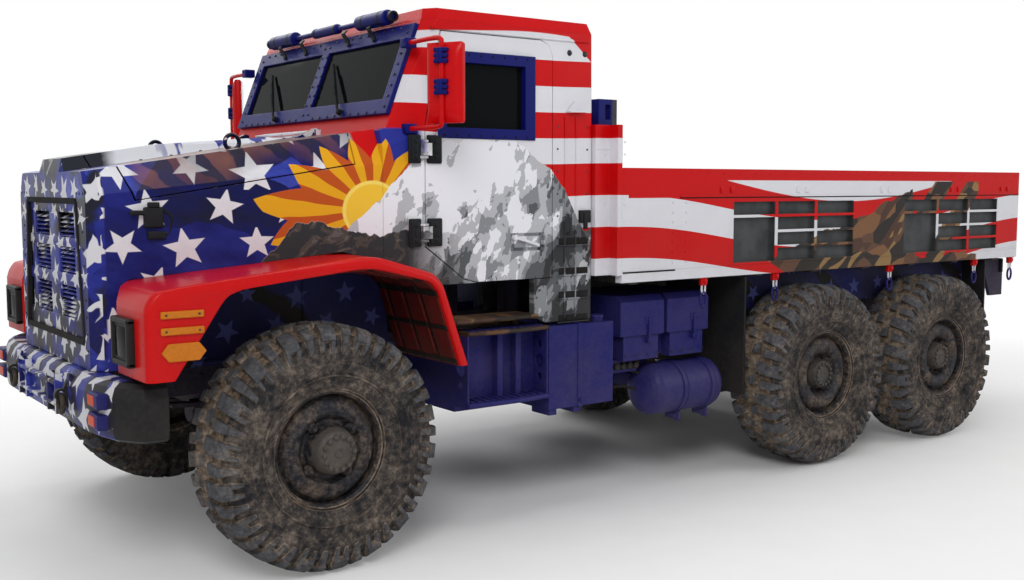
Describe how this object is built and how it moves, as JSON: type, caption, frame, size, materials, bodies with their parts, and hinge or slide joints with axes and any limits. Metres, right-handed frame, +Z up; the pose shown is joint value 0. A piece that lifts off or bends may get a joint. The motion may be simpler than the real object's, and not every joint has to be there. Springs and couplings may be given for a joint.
{
  "type": "decorated six-wheel-drive truck",
  "caption": "Bonneted six-wheel-drive truck with a striped cab and open cargo bed, steerable front wheels, opening doors, hood lid and tailgate.",
  "frame": {"origin": "on the ground, at the centre of the truck's length and width", "axes": "+X towards the nose, +Y towards the truck's left side, +Z up"},
  "size_m": [8.0899, 3.0884, 3.1119],
  "materials": {
    "star_paint": "satin blue paint with white stars",
    "stripe_paint": "satin red and white striped paint",
    "red_paint": "satin red paint",
    "navy_paint": "satin navy paint",
    "chassis_paint": "dusty dark chassis paint",
    "deck_metal": "scuffed dark grey deck paint",
    "cast_metal": "dark oily cast iron",
    "rim_metal": "muddy steel",
    "tyre": "muddy black rubber",
    "glass": "tinted glass",
    "lamp": "black lamp housing",
    "trim": "black trim",
    "seat_fabric": "dark woven fabric"
  },
  "bodies": {
    "chassis": {"frame_rails": "chassis_paint", "powertrain": "cast_metal", "front_axle": "chassis_paint", "tandem_axles": "chassis_paint", "leaf_springs": "chassis_paint", "front_bumper": "star_paint", "tow_shackles": "cast_metal", "hood_shell": "star_paint", "grille": "star_paint", "fenders": "red_paint", "headlights": "lamp", "cab_shell": "stripe_paint", "cab_roof": "red_paint", "windshield_frame": "navy_paint", "windshield_glass": "glass", "rear_glass": "glass", "roof_bar": "navy_paint", "mirrors": "red_paint", "dashboard": "trim", "seats": "seat_fabric", "step_boxes": "navy_paint", "fuel_tanks": "navy_paint", "battery_boxes": "navy_paint", "air_tanks": "navy_paint", "mudguards": "navy_paint", "bed_floor": "deck_metal", "bed_sides": "stripe_paint", "bed_front": "stripe_paint"},
    "hood_lid": {"hood_lid": "star_paint"},
    "door_left": {"door_left": "stripe_paint", "door_glass_left": "glass"},
    "door_right": {"door_right": "stripe_paint", "door_glass_right": "glass"},
    "tailgate": {"tailgate": "stripe_paint"},
    "knuckle_left": {"knuckle_left": "chassis_paint"},
    "knuckle_right": {"knuckle_right": "chassis_paint"},
    "wheel_front_left": {"tyre_front_left": "tyre", "rim_front_left": "rim_metal"},
    "wheel_front_right": {"tyre_front_right": "tyre", "rim_front_right": "rim_metal"},
    "wheel_middle_left": {"tyre_middle_left": "tyre", "rim_middle_left": "rim_metal"},
    "wheel_middle_right": {"tyre_middle_right": "tyre", "rim_middle_right": "rim_metal"},
    "wheel_rear_left": {"tyre_rear_left": "tyre", "rim_rear_left": "rim_metal"},
    "wheel_rear_right": {"tyre_rear_right": "tyre", "rim_rear_right": "rim_metal"}
  },
  "joints": [
    {"name": "hood_lid_hinge", "type": "hinge", "parent": "chassis", "child": "hood_lid", "pos_m": [2.5, 0, 2.39613], "axis": [0, -1, 0], "range_deg": [0, 50]},
    {"name": "door_left_hinge", "type": "hinge", "parent": "chassis", "child": "door_left", "pos_m": [2.12, 1.164, 2], "axis": [0, 0, -1], "range_deg": [0, 65]},
    {"name": "door_right_hinge", "type": "hinge", "parent": "chassis", "child": "door_right", "pos_m": [2.12, -1.164, 2], "axis": [0, 0, 1], "range_deg": [0, 65]},
    {"name": "tailgate_hinge", "type": "hinge", "parent": "chassis", "child": "tailgate", "pos_m": [-4.012, 0, 1.54], "axis": [0, -1, 0], "range_deg": [0, 90]},
    {"name": "steer_left", "type": "hinge", "parent": "chassis", "child": "knuckle_left", "pos_m": [2.865, 1.06, 0.671], "axis": [0, 0, 1], "range_deg": [-28, 28]},
    {"name": "steer_right", "type": "hinge", "parent": "chassis", "child": "knuckle_right", "pos_m": [2.865, -1.06, 0.671], "axis": [0, 0, 1], "range_deg": [-28, 28]},
    {"name": "roll_front_left", "type": "hinge", "parent": "knuckle_left", "child": "wheel_front_left", "pos_m": [2.865, 1.224, 0.671], "axis": [0, 1, 0], "continuous": true},
    {"name": "roll_front_right", "type": "hinge", "parent": "knuckle_right", "child": "wheel_front_right", "pos_m": [2.865, -1.224, 0.671], "axis": [0, 1, 0], "continuous": true},
    {"name": "roll_middle_left", "type": "hinge", "parent": "chassis", "child": "wheel_middle_left", "pos_m": [-1.225, 1.224, 0.671], "axis": [0, 1, 0], "continuous": true},
    {"name": "roll_middle_right", "type": "hinge", "parent": "chassis", "child": "wheel_middle_right", "pos_m": [-1.225, -1.224, 0.671], "axis": [0, 1, 0], "continuous": true},
    {"name": "roll_rear_left", "type": "hinge", "parent": "chassis", "child": "wheel_rear_left", "pos_m": [-2.725, 1.224, 0.671], "axis": [0, 1, 0], "continuous": true},
    {"name": "roll_rear_right", "type": "hinge", "parent": "chassis", "child": "wheel_rear_right", "pos_m": [-2.725, -1.224, 0.671], "axis": [0, 1, 0], "continuous": true}
  ],
  "couplings": [
    {"joint": "steer_right", "follows": "steer_left", "ratio": 1}
  ]
}
